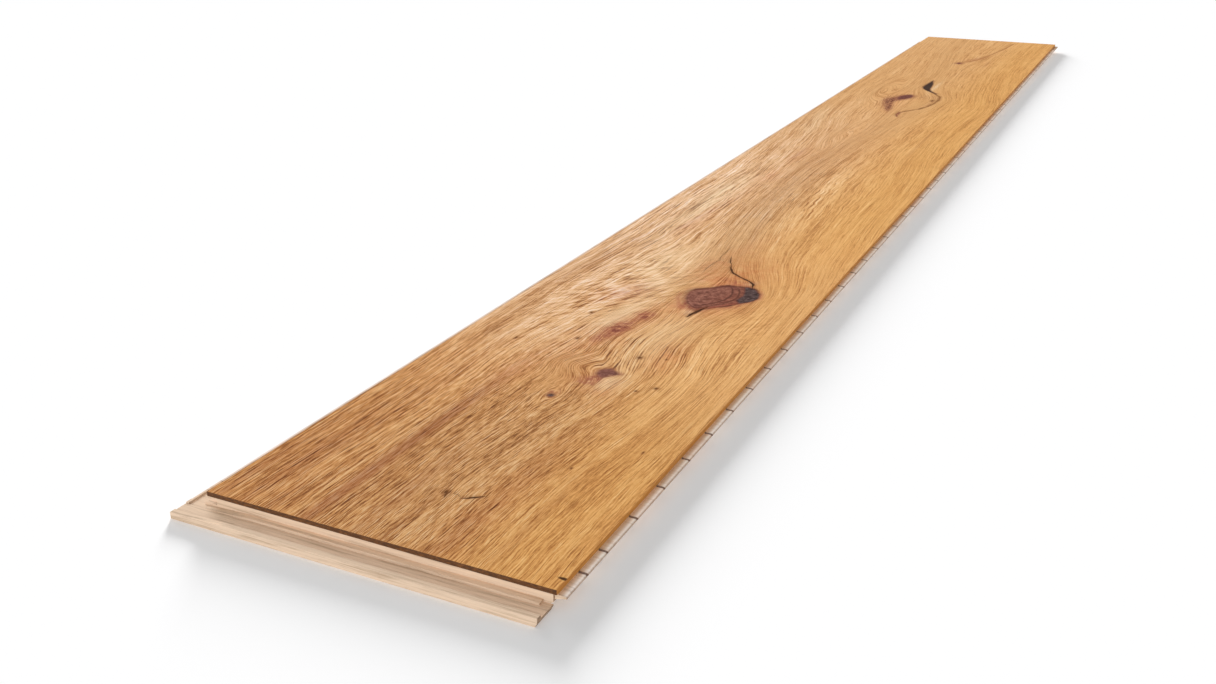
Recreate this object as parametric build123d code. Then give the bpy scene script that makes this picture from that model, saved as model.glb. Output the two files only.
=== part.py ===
from build123d import *
import os

# Engineered parquet floorboard, lying face up.
# X across the board (tongue edge at +X), Y along the board (locking lip of the
# short end at -Y), Z up.  All sizes in millimetres.

# ---- face and layers ----------------------------------------------------
FACE_W = 263.0          # visible oak face, across
FACE_L = 2200.0         # visible oak face, along
THICK = 14.0            # whole board
WEAR = 3.3              # oak layer
BACK = 2.0              # backing veneer
FACE_BEVEL = 0.4        # eased top edges of the oak

# ---- core rhythm --------------------------------------------------------
GAP = 1.0               # gap between neighbouring cross slats
END_STRIP = 27.5        # near end strip, measured from the oak's end
NARROW = (28.5, 54.5)   # narrow slat beside it
PITCH = 43.72           # regular slats
N_SLATS = 48
FIRST = 55.5            # near face of the first regular slat

# ---- long edges ---------------------------------------------------------
LIP_L = 15.0            # lip beyond the oak on the groove edge
STRIP_IN = 25.0         # groove edge strip reaches this far under the oak
CHAN_Z = 3.6            # channel floor of the lip
BEAD_Z = 4.9            # top of the bead
BEAD_W = 2.6            # bead width
GROOVE = (5.6, 10.1)    # groove, low and high
GROOVE_D = 7.6          # groove depth
TONGUE = (6.9, 9.9)     # tongue at its root, low and high
TONGUE_OUT = 5.8        # tongue beyond the oak
UNDER_X = 247.3         # underside rebate starts here

# ---- short ends ---------------------------------------------------------
LIP_F = 19.5            # locking lip beyond the oak
LIP_RIGHT = 260.6       # right end of that lip
HOOK_Z = 6.4            # top of the raised hook
HOOK_W = 3.9            # hook width
LIP_CHAN_Z = 4.0        # channel floor
STEP_Z = 5.9            # step against the oak's end
STEP_W = 5.0            # its width
STEP_END = 254.0        # the step stops short of the right end
LIP_LEFT_Z = 4.9        # left end of the lip is milled down to the bead's height
STEP_RUN = 40.0         # the step rises over this length at the left end
HOOK_RUN = 32.0         # and the hook over this one
UNDERCUT = 1.6          # the lip's right end leans in this much at its foot
TONGUE_BACK = 1.8       # the tongue starts this far behind the core's end

Z_OAK = THICK - WEAR
OX = -(FACE_W + TONGUE_OUT - LIP_L) / 2     # puts the origin below the middle
OY = -(FACE_L - LIP_F) / 2


def prism_y(pts, y0, y1):
    face = make_face(Polyline(*[(x + OX, y0 + OY, z) for x, z in pts], close=True))
    return extrude(face, amount=y1 - y0, dir=(0, 1, 0))


def prism_x(pts, x0, x1):
    face = make_face(Polyline(*[(x0 + OX, y + OY, z) for y, z in pts], close=True))
    return extrude(face, amount=x1 - x0, dir=(1, 0, 0))


def block(x0, x1, y0, y1, z0, z1):
    return Pos((x0 + x1) / 2 + OX, (y0 + y1) / 2 + OY, (z0 + z1) / 2) * Box(x1 - x0, y1 - y0, z1 - z0)


# left edge, from the lip's foot up to the oak
LEFT = [(-LIP_L, BACK), (-LIP_L, BEAD_Z - 0.5), (-LIP_L + 0.5, BEAD_Z),
        (-LIP_L + BEAD_W - 0.4, BEAD_Z), (-LIP_L + BEAD_W, CHAN_Z),
        (-3.2, CHAN_Z), (-1.6, GROOVE[0]), (GROOVE_D, GROOVE[0]),
        (GROOVE_D, GROOVE[1]), (0.0, GROOVE[1]), (0.0, Z_OAK)]
# right edge, from the oak down to the rebate
TX = FACE_W + TONGUE_OUT
RIGHT = [(FACE_W, Z_OAK), (FACE_W, TONGUE[1]), (TX - 1.2, TONGUE[1]),
         (TX, TONGUE[1] - 0.8), (TX - 0.3, TONGUE[1] - 1.5), (262.0, TONGUE[0]),
         (260.6, TONGUE[0] - 0.5), (260.6, 5.4), (258.8, 4.1), (252.0, 4.1),
         (251.2, 5.4), (UNDER_X, 5.4), (UNDER_X, BACK)]

# ---- oak wear layer -----------------------------------------------------
oak = block(0, FACE_W, 0, FACE_L, Z_OAK, THICK)
top = oak.faces().sort_by(Axis.Z)[-1]
oak = chamfer(top.edges(), FACE_BEVEL)

# ---- near end strip -----------------------------------------------------
body = prism_y(LEFT + RIGHT, 0, END_STRIP)
lip = prism_x([(-LIP_F, 0.0), (-LIP_F, HOOK_Z - 0.3), (-LIP_F + 0.3, HOOK_Z),
               (-LIP_F + HOOK_W, HOOK_Z), (-LIP_F + HOOK_W + 1.1, LIP_CHAN_Z),
               (-STEP_W, LIP_CHAN_Z), (-STEP_W + 0.2, STEP_Z), (0.0, STEP_Z),
               (0.0, 0.0)], -LIP_L, LIP_RIGHT)
lip -= block(-LIP_L - 1, 0, -LIP_F - 1, 0, LIP_LEFT_Z, THICK)
# the long lip's channel runs on to the step
lip -= prism_y([(-LIP_L + BEAD_W - 0.4, BEAD_Z + 0.01), (-LIP_L + BEAD_W, CHAN_Z),
                (1.0, CHAN_Z), (1.0, BEAD_Z + 0.01)], -STEP_W, 0)
# step and hook run in gently from the left
rise = (STEP_Z - LIP_CHAN_Z) / STEP_RUN
lip -= prism_y([(-1.0, LIP_CHAN_Z - rise), (STEP_RUN, STEP_Z), (STEP_RUN, THICK), (-1.0, THICK)], -STEP_W, 0)
lip -= prism_y([(0.0, LIP_LEFT_Z), (HOOK_RUN, HOOK_Z), (HOOK_RUN, THICK), (0.0, THICK)],
               -LIP_F - 1, -STEP_W - 1)
# right end of the lip leans in a little towards its foot
lip -= prism_y([(LIP_RIGHT + 0.1, 3.4), (LIP_RIGHT - UNDERCUT, -0.1), (LIP_RIGHT + 0.1, -0.1)],
               -LIP_F - 1, 0)
lip -= block(STEP_END, LIP_RIGHT + 1, -STEP_W - 1, 0, LIP_CHAN_Z, THICK)
body -= block(LIP_RIGHT, TX + 1, -1, TONGUE_BACK, 0, THICK)
front = body + lip

# ---- cross slats --------------------------------------------------------
slat_profile = [(STRIP_IN, BACK), (STRIP_IN, Z_OAK)] + RIGHT
narrow = prism_y(slat_profile, *NARROW)
one = prism_y(slat_profile, FIRST, FIRST + PITCH - GAP)
slats = Compound(children=[Pos(0, i * PITCH, 0) * one for i in range(N_SLATS)])

# ---- far end strip ------------------------------------------------------
FAR0 = FIRST + N_SLATS * PITCH
far = prism_y(LEFT + RIGHT, FAR0, FACE_L)
# underside rebate that drops over a locking lip
far -= prism_x([(FACE_L - 20.0, BACK - 1), (FACE_L - 20.0, 6.8), (FACE_L - 15.2, 6.8),
                (FACE_L - 14.3, 4.4), (FACE_L - 5.3, 4.4), (FACE_L - 5.1, 6.3),
                (FACE_L + 1, 6.3), (FACE_L + 1, BACK - 1)], -LIP_L - 1, FACE_W + TONGUE_OUT + 1)
far -= block(-LIP_L - 1, 0, FACE_L - 20.0, FACE_L + 1, 0, GROOVE[1])

# ---- groove edge strip --------------------------------------------------
edge = prism_y(LEFT + [(STRIP_IN, Z_OAK), (STRIP_IN, BACK)], END_STRIP, FAR0)

# ---- backing veneer -----------------------------------------------------
back = block(-LIP_L, UNDER_X, 0, FACE_L - 20.0, 0, BACK)

os.makedirs("parts", exist_ok=True)
for name, solid in (("oak_wear_layer", oak), ("front_end_strip", front),
                    ("narrow_core_slat", narrow), ("core_slats", slats),
                    ("far_end_strip", far), ("groove_edge_strip", edge),
                    ("backing_veneer", back)):
    export_step(solid, f"parts/{name}.step")
    bb = solid.bounding_box()
    print(name, len(solid.solids()), [round(v, 2) for v in (*bb.min, *bb.max)], round(solid.volume / 1000, 1), "cm3")
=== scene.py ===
import bpy
import math
import numpy as np
from mathutils import Matrix, Vector


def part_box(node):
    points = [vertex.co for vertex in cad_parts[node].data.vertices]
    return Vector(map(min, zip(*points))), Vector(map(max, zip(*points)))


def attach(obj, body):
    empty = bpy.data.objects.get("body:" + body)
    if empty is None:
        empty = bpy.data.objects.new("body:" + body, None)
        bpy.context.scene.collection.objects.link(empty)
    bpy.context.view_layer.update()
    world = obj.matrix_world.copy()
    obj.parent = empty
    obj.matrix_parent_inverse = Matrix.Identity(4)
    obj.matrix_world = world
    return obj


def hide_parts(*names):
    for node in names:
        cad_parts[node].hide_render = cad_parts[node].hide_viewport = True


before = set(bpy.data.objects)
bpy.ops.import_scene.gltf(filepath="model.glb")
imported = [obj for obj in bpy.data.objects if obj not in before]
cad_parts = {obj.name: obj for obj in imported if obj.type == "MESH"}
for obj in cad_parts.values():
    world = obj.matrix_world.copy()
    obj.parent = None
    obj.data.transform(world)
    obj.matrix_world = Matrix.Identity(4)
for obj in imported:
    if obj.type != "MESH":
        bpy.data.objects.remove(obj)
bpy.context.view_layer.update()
MM = 0.001


# ---------------------------------------------------------------- node helper
class Graph:
    """A small wrapper that wires shader nodes for one material."""

    def __init__(self, name):
        self.mat = bpy.data.materials.new(name)
        self.mat.use_nodes = True
        self.t = self.mat.node_tree
        self.t.nodes.clear()
        self.out = self.t.nodes.new("ShaderNodeOutputMaterial")
        self.bsdf = self.t.nodes.new("ShaderNodeBsdfPrincipled")
        self.t.links.new(self.bsdf.outputs["BSDF"], self.out.inputs["Surface"])

    def put(self, sock, v):
        if isinstance(v, bpy.types.NodeSocket):
            self.t.links.new(v, sock)
        elif v is not None:
            if hasattr(sock.default_value, "__len__"):
                if not hasattr(v, "__len__"):
                    v = (v,) * len(sock.default_value)
                v = tuple(v)
                if len(sock.default_value) == 4 and len(v) == 3:
                    v = v + (1.0,)
            sock.default_value = v

    def m(self, op, a, b=None, c=None, clamp=False):
        n = self.t.nodes.new("ShaderNodeMath")
        n.operation = op
        n.use_clamp = clamp
        for s, v in zip(n.inputs, (a, b, c)):
            self.put(s, v)
        return n.outputs[0]

    def vm(self, op, a, b=None, scale=None):
        n = self.t.nodes.new("ShaderNodeVectorMath")
        n.operation = op
        self.put(n.inputs[0], a)
        if b is not None:
            self.put(n.inputs[1], b)
        if scale is not None:
            self.put(n.inputs["Scale"], scale)
        return n.outputs["Value"] if op in ("LENGTH", "DISTANCE", "DOT_PRODUCT") else n.outputs[0]

    def xyz(self, x=0.0, y=0.0, z=0.0):
        n = self.t.nodes.new("ShaderNodeCombineXYZ")
        for s, v in zip(n.inputs, (x, y, z)):
            self.put(s, v)
        return n.outputs[0]

    def split(self, v):
        n = self.t.nodes.new("ShaderNodeSeparateXYZ")
        self.put(n.inputs[0], v)
        return n.outputs

    def attr(self, name):
        n = self.t.nodes.new("ShaderNodeAttribute")
        n.attribute_name = name
        return n.outputs["Vector"]

    def pos(self):
        return self.t.nodes.new("ShaderNodeTexCoord").outputs["Object"]

    def noise(self, vec, scale=1.0, detail=2.0, rough=0.5, dist=0.0, dims="3D"):
        n = self.t.nodes.new("ShaderNodeTexNoise")
        n.noise_dimensions = dims
        self.put(n.inputs["Vector"], vec)
        for k, v in (("Scale", scale), ("Detail", detail), ("Roughness", rough), ("Distortion", dist)):
            self.put(n.inputs[k], v)
        return n.outputs[0]

    def white(self, w):
        n = self.t.nodes.new("ShaderNodeTexWhiteNoise")
        n.noise_dimensions = "1D"
        self.put(n.inputs["W"], w)
        return n.outputs["Value"]

    def step(self, v, lo, hi, a=0.0, b=1.0):
        """Smooth step from a to b as v goes from lo to hi."""
        n = self.t.nodes.new("ShaderNodeMapRange")
        n.interpolation_type = "SMOOTHSTEP"
        for s, x in zip(n.inputs, (v, lo, hi, a, b)):
            self.put(s, x)
        return n.outputs[0]

    def lin(self, v, lo, hi, a=0.0, b=1.0):
        n = self.t.nodes.new("ShaderNodeMapRange")
        for s, x in zip(n.inputs, (v, lo, hi, a, b)):
            self.put(s, x)
        return n.outputs[0]

    def mix(self, fac, a, b, kind="MIX"):
        n = self.t.nodes.new("ShaderNodeMix")
        n.data_type = "RGBA"
        n.blend_type = kind
        n.clamp_factor = True
        self.put(n.inputs[0], fac)
        self.put(n.inputs[6], a)
        self.put(n.inputs[7], b)
        return n.outputs[2]

    def ramp(self, v, stops):
        n = self.t.nodes.new("ShaderNodeValToRGB")
        e = n.color_ramp.elements
        while len(e) < len(stops):
            e.new(0.5)
        for el, (p, c) in zip(e, stops):
            el.position = p
            el.color = tuple(c) + (1.0,)
        self.put(n.inputs[0], v)
        return n.outputs[0]

    def bump(self, height, dist, strength=1.0, normal=None):
        n = self.t.nodes.new("ShaderNodeBump")
        self.put(n.inputs["Strength"], strength)
        self.put(n.inputs["Distance"], dist)
        self.put(n.inputs["Height"], height)
        if normal is not None:
            self.put(n.inputs["Normal"], normal)
        return n.outputs[0]

    def finish(self, color, rough, normal=None, spec=0.5, ior=1.5):
        self.put(self.bsdf.inputs["Base Color"], color)
        self.put(self.bsdf.inputs["Roughness"], rough)
        if normal is not None:
            self.put(self.bsdf.inputs["Normal"], normal)
        self.bsdf.inputs["Specular IOR Level"].default_value = spec
        self.bsdf.inputs["IOR"].default_value = ior
        return self.mat


def rgb(r, g, b):
    """sRGB 0..255 to linear."""
    out = []
    for c in (r, g, b):
        c /= 255.0
        out.append(c / 12.92 if c <= 0.04045 else ((c + 0.055) / 1.055) ** 2.4)
    return tuple(out)


# ---------------------------------------------------------------- oak face
olo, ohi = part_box("oak_wear_layer")
W = (ohi.x - olo.x) / MM
L = (ohi.y - olo.y) / MM
T = (ohi.z - olo.z) / MM

# knots: across, along, half width across, half length along, turn in degrees
KNOTS = {
    "pin_eye": (133.5, 233.0, 5.2, 9.5, 6.0),
    "dark_patch": (156.0, 286.0, 9.0, 10.0, 20.0),
    "red_long": (122.0, 376.0, 9.5, 23.0, -8.0),
    "red_small": (131.0, 417.0, 8.5, 13.0, 0.0),
    "main": (172.0, 490.0, 24.0, 40.0, -30.0),
    "far_small": (126.0, 1885.0, 4.0, 7.0, 0.0),
}
# outlines given as (along, across) points
MAIN = [(447, 166), (452, 156), (461, 147), (472, 141), (486, 139), (497, 141), (504, 147), (511, 156), (519, 162),
        (525, 171), (527, 181), (527, 191), (523, 199), (513, 205), (502, 207), (490, 203), (478, 195), (467, 186),
        (458, 176), (452, 171)]
MAIN_DARK = [(482, 196), (490, 190), (503, 192), (514, 190), (522, 187), (528, 186), (526, 196), (514, 205.5),
             (502, 208), (491, 204)]
PATCH = [(277, 153), (283, 147), (290, 146), (295, 150), (297, 155), (293, 161), (289.5, 167), (286.5, 164), (283, 159),
         (279, 157)]
EYE = [(227.5, 133), (229.5, 130.8), (232.5, 131.2), (234, 134), (232, 136.6), (229, 136.4)]
SPLIT = [(1562, 150), (1574, 140), (1586, 130), (1596, 123.5), (1606, 119), (1618, 116), (1636, 116), (1658, 117.5),
         (1688, 119.5), (1668, 123.5), (1648, 127.5), (1626, 130), (1606, 131.5), (1596, 133.5), (1584, 139), (1574, 145.5),
         (1564, 153)]
FAR_DARK = [(1488, 104), (1503, 99), (1518, 100), (1531, 105), (1539, 113), (1530, 121), (1512, 120), (1497, 113)]
FAR_EYE = [(1876, 126), (1883, 121), (1893, 125), (1891, 130), (1879, 130)]

# where sixteen fibres run: station along the board, then their positions across it
LEVELS = [-10 + 18 * i for i in range(16)]
FIBRES = [
    (0, -11, 7, 24, 43, 62, 80, 98, 119, 134, 151, 169, 188, 206, 224, 242, 260),
    (120, -10, 8, 27, 44, 62, 81, 99, 118, 135, 154, 171, 190, 207, 225, 244, 260),
    (240, -10, 9, 27, 44, 66, 84, 103, 121, 145, 165, 179, 201, 218, 234, 251, 260),
    (300, -12, 6, 24, 41, 63, 83, 106, 126, 143, 167, 179, 201, 220, 235, 250, 260),
    (330, -13, 5, 24, 42, 66, 88, 111, 123, 132, 156, 172, 195, 216, 232, 250, 260),
    (360, -14, 4, 27, 44, 71, 92, 108, 120, 128, 150, 170, 189, 210, 228, 249, 260),
    (400, -15, 4, 30, 49, 79, 96, 111, 125, 135, 154, 174, 189, 206, 228, 249, 259),
    (440, -14, 4, 29, 53, 85, 107, 119, 128, 134, 155, 181, 193, 208, 230, 248, 257),
    (480, -10, 7, 28, 58, 101, 115, 126, 132, 136, 150, 196, 205, 212, 229, 246, 256),
    (520, -7, 9, 31, 62, 110, 127, 133, 135, 138, 153, 193, 202, 209, 226, 246, 255),
    (560, -6, 12, 33, 65, 110, 130, 138, 143, 148, 156, 167, 182, 193, 217, 243, 253),
    (600, -5, 14, 35, 69, 108, 126, 133, 138, 143, 149, 155, 164, 178, 205, 233, 248),
    (650, -5, 16, 38, 72, 104, 117, 124, 129, 134, 140, 146, 155, 169, 198, 227, 244),
    (720, -5, 15, 37, 74, 98, 108, 114, 119, 124, 129, 134, 142, 157, 194, 223, 241),
    (800, -5, 14, 37, 72, 92, 101, 107, 111, 116, 121, 127, 135, 149, 191, 219, 236),
    (900, -6, 14, 38, 70, 88, 96, 101, 106, 110, 115, 121, 129, 142, 182, 217, 235),
    (1000, -7, 11, 37, 65, 83, 92, 98, 103, 108, 114, 120, 129, 142, 177, 211, 230),
    (1080, -10, 7, 33, 60, 84, 98, 104, 109, 113, 119, 125, 132, 143, 175, 205, 224),
    (1160, -15, 4, 26, 53, 75, 96, 104, 110, 115, 121, 128, 135, 145, 173, 204, 220),
    (1240, -19, -1, 14, 41, 62, 87, 109, 118, 124, 129, 134, 141, 150, 171, 205, 218),
    (1320, -26, -8, 8, 24, 48, 69, 105, 115, 123, 130, 137, 145, 154, 172, 206, 219),
    (1400, -31, -13, 5, 18, 43, 67, 97, 112, 122, 132, 140, 151, 161, 177, 204, 224),
    (1460, -34, -16, 2, 18, 42, 64, 86, 102, 124, 143, 153, 162, 170, 181, 202, 228),
    (1520, -36, -18, 0, 17, 34, 53, 78, 94, 123, 143, 155, 165, 172, 183, 200, 223),
    (1580, -37, -19, -1, 16, 31, 49, 86, 99, 109, 120, 131, 142, 151, 168, 190, 214),
    (1640, -39, -21, -3, 15, 30, 52, 88, 98, 105, 113, 121, 130, 138, 157, 187, 209),
    (1720, -39, -21, -3, 15, 31, 54, 84, 96, 105, 113, 120, 126, 134, 153, 184, 203),
    (1850, -41, -23, -5, 13, 26, 46, 74, 86, 94, 103, 110, 116, 124, 149, 177, 196),
    (2000, -48, -30, -12, 6, 19, 36, 58, 68, 76, 85, 93, 100, 112, 160, 178, 198),
    (2200, -56, -38, -20, -2, 12, 27, 47, 57, 65, 74, 83, 91, 104, 165, 182, 202),
]


def ell(x, y, k, grow=1.0):
    """Radius of (x, y) in units of the knot's own ellipse; a positive turn leans its far end to the left."""
    cx, cy, a, b, deg = k
    c, s = math.cos(math.radians(deg)), math.sin(math.radians(deg))
    u = (x - cx) * c + (y - cy) * s
    v = -(x - cx) * s + (y - cy) * c
    return np.sqrt((u / (a * grow)) ** 2 + (v / (b * grow)) ** 2)


def gauss(x, y, cx, cy, a, b, deg=0.0):
    return np.exp(-0.5 * ell(x, y, (cx, cy, a, b, deg)) ** 2)


def line(y, pts):
    """Across position of a polyline given as (along, across) points."""
    p = np.array(pts, float)
    return np.interp(y, p[:, 0], p[:, 1])


def wave(v, seed, n=6, lo=0.2, hi=1.0):
    """A smooth random curve made of a few sines."""
    r = np.random.RandomState(seed)
    out = np.zeros_like(v)
    for _ in range(n):
        out += np.sin(v * r.uniform(lo, hi) + r.uniform(0, 6.28)) * r.uniform(0.5, 1.0)
    return out / n


def flow_grid():
    """The across-the-grain coordinate on a regular grid, from the measured fibres."""
    rows = np.array(FIBRES, float)
    gx_, gy_ = np.arange(-20.0, 286.0, 2.5), np.arange(-20.0, 2226.0, 5.0)
    xs = np.stack([np.interp(gy_, rows[:, 0], rows[:, k + 1]) for k in range(len(LEVELS))], 1)
    lev = np.array(LEVELS, float)
    out = np.zeros((len(gy_), len(gx_)))
    for j, r in enumerate(xs):
        r = np.concatenate([[r[0] - 300], r, [r[-1] + 300]])
        out[j] = np.interp(gx_, r, np.concatenate([[lev[0] - 300], lev, [lev[-1] + 300]]))
    for axis, sigma in ((1, 2.6), (0, 3.2)):
        n = int(sigma * 3)
        ker = np.exp(-0.5 * (np.arange(-n, n + 1) / sigma) ** 2)
        ker /= ker.sum()
        pad = [(0, 0), (0, 0)]
        pad[axis] = (n, n)
        if axis == 1:                                     # keep the slope at the borders
            rest = out - gx_[None, :]
            rest = np.pad(rest, pad, mode="edge")
            out = sum(k * rest[:, i:i + len(gx_)] for i, k in enumerate(ker)) + gx_[None, :]
        else:
            rest = np.pad(out, pad, mode="edge")
            out = sum(k * rest[i:i + len(gy_), :] for i, k in enumerate(ker))
    return gx_, gy_, out


FLOW = flow_grid()


def ring_coordinate(x, y):
    """Across-the-grain coordinate, mm: fibres follow its level lines."""
    gx_, gy_, f = FLOW
    u, v = (x - gx_[0]) / 2.5, (y - gy_[0]) / 5.0
    i, j = np.floor(u).astype(int), np.floor(v).astype(int)
    u, v = u - i, v - j
    s = (f[j, i] * (1 - u) * (1 - v) + f[j, i + 1] * u * (1 - v) + f[j + 1, i] * (1 - u) * v
         + f[j + 1, i + 1] * u * v)
    s += 0.8 * wave(y, 3, 4, 0.008, 0.03) + 0.5 * wave(y + 0.5 * x, 5, 4, 0.03, 0.07)
    # fibres part around the small knots
    for name, grow, power in (("pin_eye", 1.1, 1.0), ("dark_patch", 1.1, 0.8), ("red_long", 1.1, 0.6),
                              ("red_small", 1.0, 0.5), ("far_small", 1.2, 0.8)):
        k = KNOTS[name]
        r2 = ell(x, y, k, grow) ** 2
        s -= power * (x - k[0]) / (r2 + 0.55) * np.exp(-0.02 * r2)
    # bows beyond the dark patch: a blunt cone, low enough to leave them open
    u, v = (x - 126.0) / np.where(x < 126.0, 34.0, 21.0), (y - 290.0) / np.where(y > 290.0, 30.0, 34.0)
    r = np.sqrt(u * u + v * v + 0.10)
    t = np.clip((y - 256.0) / 40.0, 0, 1)
    s += 18.0 * np.clip(1.0 - r, 0, 1) * t * t * (3 - 2 * t)
    # cathedral arches
    r = np.sqrt(ell(x, y, (92.0, 1215.0, 20.0, 120.0, -4.0)) ** 2 + 0.02)
    s += 20.0 * np.clip(1.0 - r, 0, 1) ** 1.2
    r = np.sqrt(ell(x, y, (60.0, 1560.0, 24.0, 150.0, 0.0)) ** 2 + 0.02)
    s += 22.0 * np.clip(1.0 - r, 0, 1) ** 1.2
    return s


CRACKS = [
    # (along, across) points, half width mm
    ([(428, 165.0), (438, 166.5), (446, 168.5), (454, 170.0), (464, 174.0)], 1.9),
    ([(524, 194.0), (530, 192.5), (537, 191.0), (543, 186.0), (548, 178.5), (556, 167.5), (561, 160.5), (567, 157.0),
      (575, 153.5), (583, 151.0)], 1.25),
    ([(578, 153.0), (583, 151.0), (590, 147.0), (600, 144.0), (610, 141.0)], 0.5),
    ([(548, 133.5), (560, 132.5), (574, 132.5), (590, 134.5), (604, 132.0), (622, 131.5), (640, 131.0)], 0.2),
    ([(1352, 135), (1370, 129), (1387, 129), (1408, 139), (1425, 150), (1450, 159), (1480, 164), (1515, 165),
      (1540, 161), (1556, 153), (1574, 142)], 2.0),
    ([(61, 146.5), (67, 144.5), (73, 145.5)], 2.6),
    ([(64, 156.0), (69, 161.0), (76, 170.0)], 2.4),
    ([(1893, 128), (1915, 143), (1950, 154), (2000, 162), (2050, 170), (2085, 176), (2180, 184)], 1.3),
]
PINS = [  # across, along, half width, half length
    (143.3, 69, 1.4, 2.4), (99.7, 343, 1.7, 2.6), (51, 321, 1.2, 2.6), (83, 402.5, 1.6, 2.2), (166, 327, 2.2, 2.8), (203, 277, 1.9, 1.9),
    (190.5, 266, 1.4, 1.4), (203, 133, 0.7, 1.4), (238, 175, 0.8, 1.6), (187.5, 333.0, 1.0, 1.4),
    (136.0, 1502.0 + 20, 1.0, 1.0), (157.0, 1502.0, 2.4, 6.0),
]


def outline(x, y, pts):
    """Signed distance, mm, to a closed outline of (along, across) points; negative inside."""
    p = np.array(pts, float)[:, ::-1]
    q = np.roll(p, -1, 0)
    best = np.full(x.shape, 1e9)
    inside = np.zeros(x.shape, bool)
    for (x0, y0), (x1, y1) in zip(p, q):
        ex, ey = x1 - x0, y1 - y0
        t = np.clip(((x - x0) * ex + (y - y0) * ey) / (ex * ex + ey * ey), 0, 1)
        best = np.minimum(best, np.hypot(x - x0 - t * ex, y - y0 - t * ey))
        if y0 != y1:
            cross = ((y0 > y) != (y1 > y)) & (x < (x1 - x0) * (y - y0) / (y1 - y0) + x0)
            inside ^= cross
    return np.where(inside, -best, best)


def crack_fields(x, y):
    """Signed distance to the nearest crack and its half width there."""
    best, wid = np.full_like(x, 60.0), np.full_like(x, -6.0)
    for pts, w in CRACKS:
        p = np.array(pts, float)
        c = line(y, pts)
        slope = np.interp(y, (p[1:, 0] + p[:-1, 0]) / 2, np.diff(p[:, 1]) / np.diff(p[:, 0]))
        s = (x - c) / np.sqrt(1 + slope ** 2)
        end = np.minimum(y - p[0, 0], p[-1, 0] - y)
        width = w * np.clip(end / 14.0, -40, 1)
        width = width - 0.12 * np.maximum(0, np.abs(s) - 5)
        take = width > wid
        best[take], wid[take] = s[take], width[take]
    return best, wid


def spaced(a, b, coarse, zones):
    """Positions from a to b, closer inside the zones (lo, hi, step)."""
    out = [a]
    while out[-1] < b:
        st = coarse
        for lo, hi, fine in zones:
            if lo <= out[-1] <= hi:
                st = fine
        out.append(out[-1] + st)
    out = np.array(out)
    return a + (out - a) * (b - a) / (out[-1] - a)


BEVEL = 0.4
gx = spaced(BEVEL, W - BEVEL, 3.1, [(100, 212, 1.9)])
gy = spaced(BEVEL, L - BEVEL, 3.4, [(56, 82, 1.9), (220, 340, 1.9), (425, 610, 1.9), (1360, 1700, 2.8)])
nx, ny = len(gx), len(gy)
X, Y = np.meshgrid(gx, gy)          # rows along, columns across


def relief(x, y):
    """How far the brushed face lies below its highest plane, mm."""
    s = ring_coordinate(x, y)
    d = 0.05 + 0.03 * wave(s * 1.0 + 0.02 * y, 11, 8, 0.25, 1.1) + 0.012 * wave(y, 12, 5, 0.01, 0.05)
    for pts, depth in ((MAIN, 0.16), (MAIN_DARK, 0.3), (PATCH, 0.12), (EYE, 0.3), (SPLIT, 0.7)):
        r = outline(x, y, pts)
        d += depth * np.clip(0.5 - r / 3.0, 0, 1)
        d -= 0.04 * np.exp(-((r - 4.0) / 2.5) ** 2)
    cs, cw = crack_fields(x, y)
    d += np.where(cw > 0.3, 0.5 * np.exp(-(cs / (1.2 + cw)) ** 2), 0)
    # a nick in the near right edge
    d += 1.1 * np.clip(1.4 - np.hypot((x - 262.0) / 4.0, (y - 12.5) / 1.6), 0, 1)
    return np.clip(d, 0.0, 1.6)


Z = T - relief(X, Y)
top = np.stack([X, Y, Z], -1).reshape(-1, 3)

# perimeter, walked once round
idx = np.arange(nx * ny).reshape(ny, nx)
rim = np.concatenate([idx[0, :-1], idx[:-1, -1], idx[-1, :0:-1], idx[:0:-1, 0]])
px, py = top[rim, 0], top[rim, 1]
worn = 1.0 + 0.35 * wave(px + 1.7 * py, 21, 8, 0.02, 0.4)
rings = []
for off, drop in ((0.22, 0.06), (0.08, 0.2), (0.0, 0.45), (0.0, 1.2), (0.0, 2.2), (0.0, T)):
    o = np.where(off > 0, off * worn, 0.0) if off > 0 else np.zeros_like(px)
    rx = np.where(px <= BEVEL + 1e-6, o, np.where(px >= W - BEVEL - 1e-6, W - o, px))
    ry = np.where(py <= BEVEL + 1e-6, o, np.where(py >= L - BEVEL - 1e-6, L - o, py))
    rings.append(np.stack([rx, ry, np.full_like(rx, T - (drop * worn if drop < T and off > 0 else drop))], -1))
rings[0][:, 2] = np.minimum(rings[0][:, 2], top[rim, 2])
verts = np.concatenate([top] + rings)
faces, mats = [], []
q = np.stack([idx[:-1, :-1], idx[:-1, 1:], idx[1:, 1:], idx[1:, :-1]], -1).reshape(-1, 4)
faces += q.tolist()
mats += [0] * len(q)
m = len(rim)
prev = rim
for k in range(len(rings)):
    cur = nx * ny + k * m + np.arange(m)
    nxt = np.roll(np.arange(m), -1)
    f = np.stack([prev[nxt], prev, cur, cur[nxt]], -1)
    for i in range(m):
        short = (i < nx - 1) or (nx - 1 + ny - 1 <= i < 2 * (nx - 1) + ny - 1)
        faces.append(f[i].tolist())
        mats.append(0 if k < 1 else (2 if short else 1))
    prev = cur
faces.append(prev[::-1].tolist())
mats.append(3)

mesh = bpy.data.meshes.new("oak_face")
world = verts * MM + np.array([olo.x, olo.y, olo.z])
mesh.from_pydata(world.tolist(), [], faces)
mesh.update()
oak = bpy.data.objects.new("oak_face", mesh)
bpy.context.scene.collection.objects.link(oak)
VX, VY, VZ = verts[:, 0], verts[:, 1], verts[:, 2]


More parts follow.
